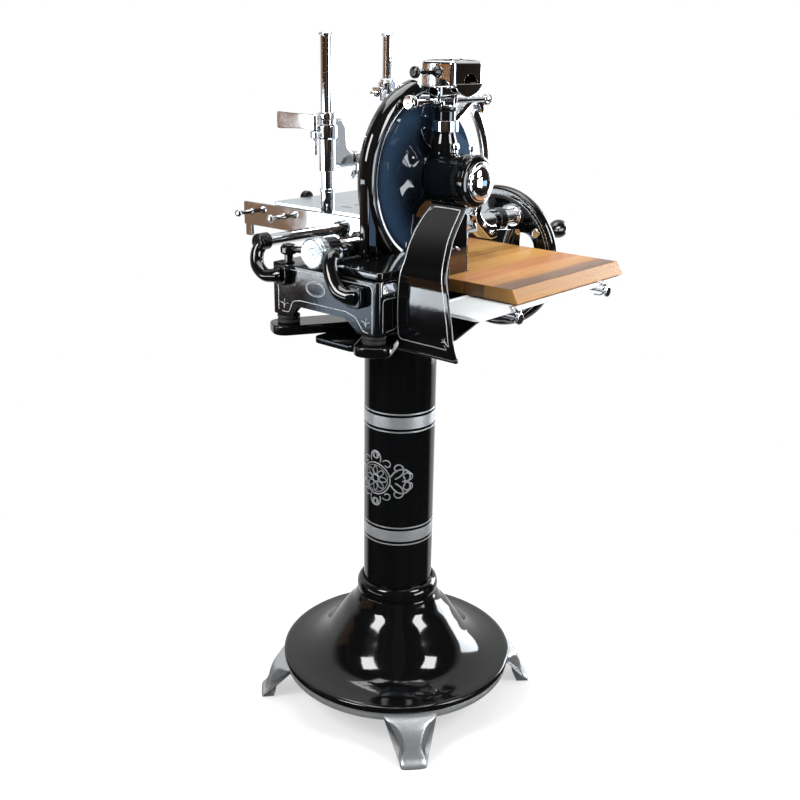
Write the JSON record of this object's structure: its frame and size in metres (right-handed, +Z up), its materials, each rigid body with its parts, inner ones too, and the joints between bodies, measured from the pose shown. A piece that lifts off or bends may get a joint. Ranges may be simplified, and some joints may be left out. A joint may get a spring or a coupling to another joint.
{
  "type": "hand crank meat slicer",
  "caption": "Hand cranked meat slicer on a cast pedestal: flywheel, round blade in a guard, sliding carriage with meat table and clamps, sharpener, board and tray.",
  "frame": {"origin": "middle of the footprint at floor level", "axes": "+Z up, +X along the carriage travel towards the flywheel, +Y away from the operator"},
  "size_m": [0.766, 0.6062, 1.328],
  "materials": {
    "black_enamel": "deep black gloss stove enamel on cast iron",
    "silver_paint": "satin silver paint on cast iron",
    "chrome_plate": "mirror chrome plate on steel",
    "polished_aluminium": "polished and lightly brushed",
    "machined_steel": "turned and ground, lightly oiled",
    "walnut_board": "oiled hardwood, satin",
    "white_tray": "white enamelled plate",
    "black_plastic": "moulded black phenolic, polished",
    "bonded_abrasive": "vitrified grit, grey"
  },
  "bodies": {
    "stand": {"foot_ring": "silver_paint", "pedestal_bell": "black_enamel", "column": "black_enamel", "column_head": "black_enamel", "base_casting": "black_enamel", "rest_pad_1": "black_plastic", "rest_pad_2": "black_plastic", "rest_pad_3": "black_plastic", "guide_tube": "chrome_plate", "rear_rail": "chrome_plate", "tube_arm": "black_enamel", "rail_arm": "black_enamel", "right_arm": "black_enamel", "rail_stay": "black_enamel", "blade_bracket": "black_enamel", "hub_dome": "chrome_plate", "guard_shell": "black_enamel", "guard_ring": "chrome_plate", "sharpener_head": "chrome_plate", "oil_cup_1": "chrome_plate", "oil_cup_2": "chrome_plate", "flywheel_bearing": "black_enamel", "deflector": "black_enamel", "deflector_rib": "black_enamel", "board": "walnut_board", "tray": "white_tray", "tray_bracket": "black_enamel", "board_clamp_1": "chrome_plate", "board_clamp_2": "chrome_plate", "catch_plate": "chrome_plate", "side_plate": "machined_steel"},
    "carriage": {"carriage_frame": "polished_aluminium", "carriage_end_plate": "chrome_plate"},
    "table": {"meat_table": "polished_aluminium", "left_post": "chrome_plate", "right_post": "chrome_plate"},
    "feed_screw": {"feed_screw": "machined_steel"},
    "left_clamp": {"left_clamp": "chrome_plate"},
    "clamp_lever": {"clamp_lever": "chrome_plate"},
    "wing_screw": {"wing_screw": "chrome_plate"},
    "right_clamp": {"right_clamp": "chrome_plate"},
    "slice_dial": {"slice_dial": "chrome_plate"},
    "flywheel": {"flywheel": "black_enamel", "flywheel_shaft": "machined_steel", "drive_gear": "machined_steel", "handle_pin": "chrome_plate"},
    "grip": {"handle_grip": "black_plastic"},
    "cross_shaft": {"cross_shaft": "machined_steel"},
    "upright_shaft": {"upright_shaft": "machined_steel"},
    "blade": {"blade": "polished_aluminium", "blade_shaft": "machined_steel"},
    "sharpener": {"sharpener_frame": "polished_aluminium", "sharpener_cover": "chrome_plate"},
    "clamp_spindle": {"sharpener_spindle": "chrome_plate", "spindle_nut": "chrome_plate"},
    "grinding_stone": {"grinding_stone": "bonded_abrasive"},
    "honing_stone": {"honing_stone": "bonded_abrasive"},
    "stone_knob": {"stone_knob": "black_plastic"},
    "thumb_screw_1": {"thumb_screw_1": "chrome_plate"},
    "thumb_screw_2": {"thumb_screw_2": "chrome_plate"}
  },
  "joints": [
    {"name": "carriage_slide", "type": "slide", "parent": "stand", "child": "carriage", "axis": [1, 0, 0], "range_m": [-0.055, 0.2]},
    {"name": "table_feed", "type": "slide", "parent": "carriage", "child": "table", "axis": [0, 1, 0], "range_m": [0, 0.12]},
    {"name": "feed_screw_turn", "type": "hinge", "parent": "table", "child": "feed_screw", "pos_m": [-0.18899, 0.16815, 0.982], "axis": [0, 1, 0], "range_deg": [0, 2160]},
    {"name": "left_clamp_slide", "type": "slide", "parent": "table", "child": "left_clamp", "axis": [0, 0, 1], "range_m": [-0.03, 0.125]},
    {"name": "clamp_lever_turn", "type": "hinge", "parent": "left_clamp", "child": "clamp_lever", "pos_m": [-0.25899, 0.08015, 1.158], "axis": [0, 0, 1], "range_deg": [0, 60]},
    {"name": "wing_screw_turn", "type": "hinge", "parent": "left_clamp", "child": "wing_screw", "pos_m": [-0.15699, 0.07615, 1.085], "axis": [0, 0, 1], "range_deg": [0, 720]},
    {"name": "right_clamp_slide", "type": "slide", "parent": "table", "child": "right_clamp", "axis": [0, 0, 1], "range_m": [-0.145, 0.075]},
    {"name": "dial_turn", "type": "hinge", "parent": "stand", "child": "slice_dial", "pos_m": [-0.34199, -0.00385, 0.962], "axis": [1, 0, 0], "range_deg": [0, 300]},
    {"name": "flywheel_spin", "type": "hinge", "parent": "stand", "child": "flywheel", "pos_m": [0.28501, 0.05815, 0.862], "axis": [1, 0, 0], "continuous": true},
    {"name": "grip_spin", "type": "hinge", "parent": "flywheel", "child": "grip", "pos_m": [0.33501, -0.04885, 0.927], "axis": [1, 0, 0], "continuous": true},
    {"name": "cross_spin", "type": "hinge", "parent": "stand", "child": "cross_shaft", "pos_m": [-0.08299, -0.03185, 0.862], "axis": [0, 1, 0], "continuous": true},
    {"name": "upright_spin", "type": "hinge", "parent": "stand", "child": "upright_shaft", "pos_m": [-0.08299, -0.08885, 0.96], "axis": [0, 0, 1], "continuous": true},
    {"name": "blade_spin", "type": "hinge", "parent": "stand", "child": "blade", "pos_m": [-0.08299, -0.03185, 1.077], "axis": [0, 1, 0], "continuous": true},
    {"name": "sharpener_tilt", "type": "hinge", "parent": "stand", "child": "sharpener", "pos_m": [-0.08299, -0.07185, 1.213], "axis": [1, 0, 0], "range_deg": [0, 25]},
    {"name": "clamp_spindle_turn", "type": "hinge", "parent": "stand", "child": "clamp_spindle", "pos_m": [-0.06499, -0.07185, 1.213], "axis": [1, 0, 0], "range_deg": [0, 180]},
    {"name": "grinding_stone_spin", "type": "hinge", "parent": "sharpener", "child": "grinding_stone", "pos_m": [-0.04699, -0.04785, 1.258], "axis": [0, 1, 0], "continuous": true},
    {"name": "honing_stone_spin", "type": "hinge", "parent": "sharpener", "child": "honing_stone", "pos_m": [-0.04699, -0.02785, 1.258], "axis": [0, 1, 0], "continuous": true},
    {"name": "stone_knob_pull", "type": "slide", "parent": "sharpener", "child": "stone_knob", "axis": [1, 0, 0], "range_m": [-0.008, 0]},
    {"name": "thumb_screw_1_turn", "type": "hinge", "parent": "stand", "child": "thumb_screw_1", "pos_m": [-0.13899, -0.27185, 0.8593], "axis": [0, 1, 0], "range_deg": [0, 720]},
    {"name": "thumb_screw_2_turn", "type": "hinge", "parent": "stand", "child": "thumb_screw_2", "pos_m": [0.15701, -0.27185, 0.8593], "axis": [0, 1, 0], "range_deg": [0, 720]}
  ],
  "couplings": [
    {"joint": "feed_screw_turn", "follows": "table_feed", "rad_per_m": 314.16},
    {"joint": "cross_spin", "follows": "flywheel_spin", "ratio": 2},
    {"joint": "upright_spin", "follows": "flywheel_spin", "ratio": -2},
    {"joint": "blade_spin", "follows": "flywheel_spin", "ratio": 4}
  ]
}
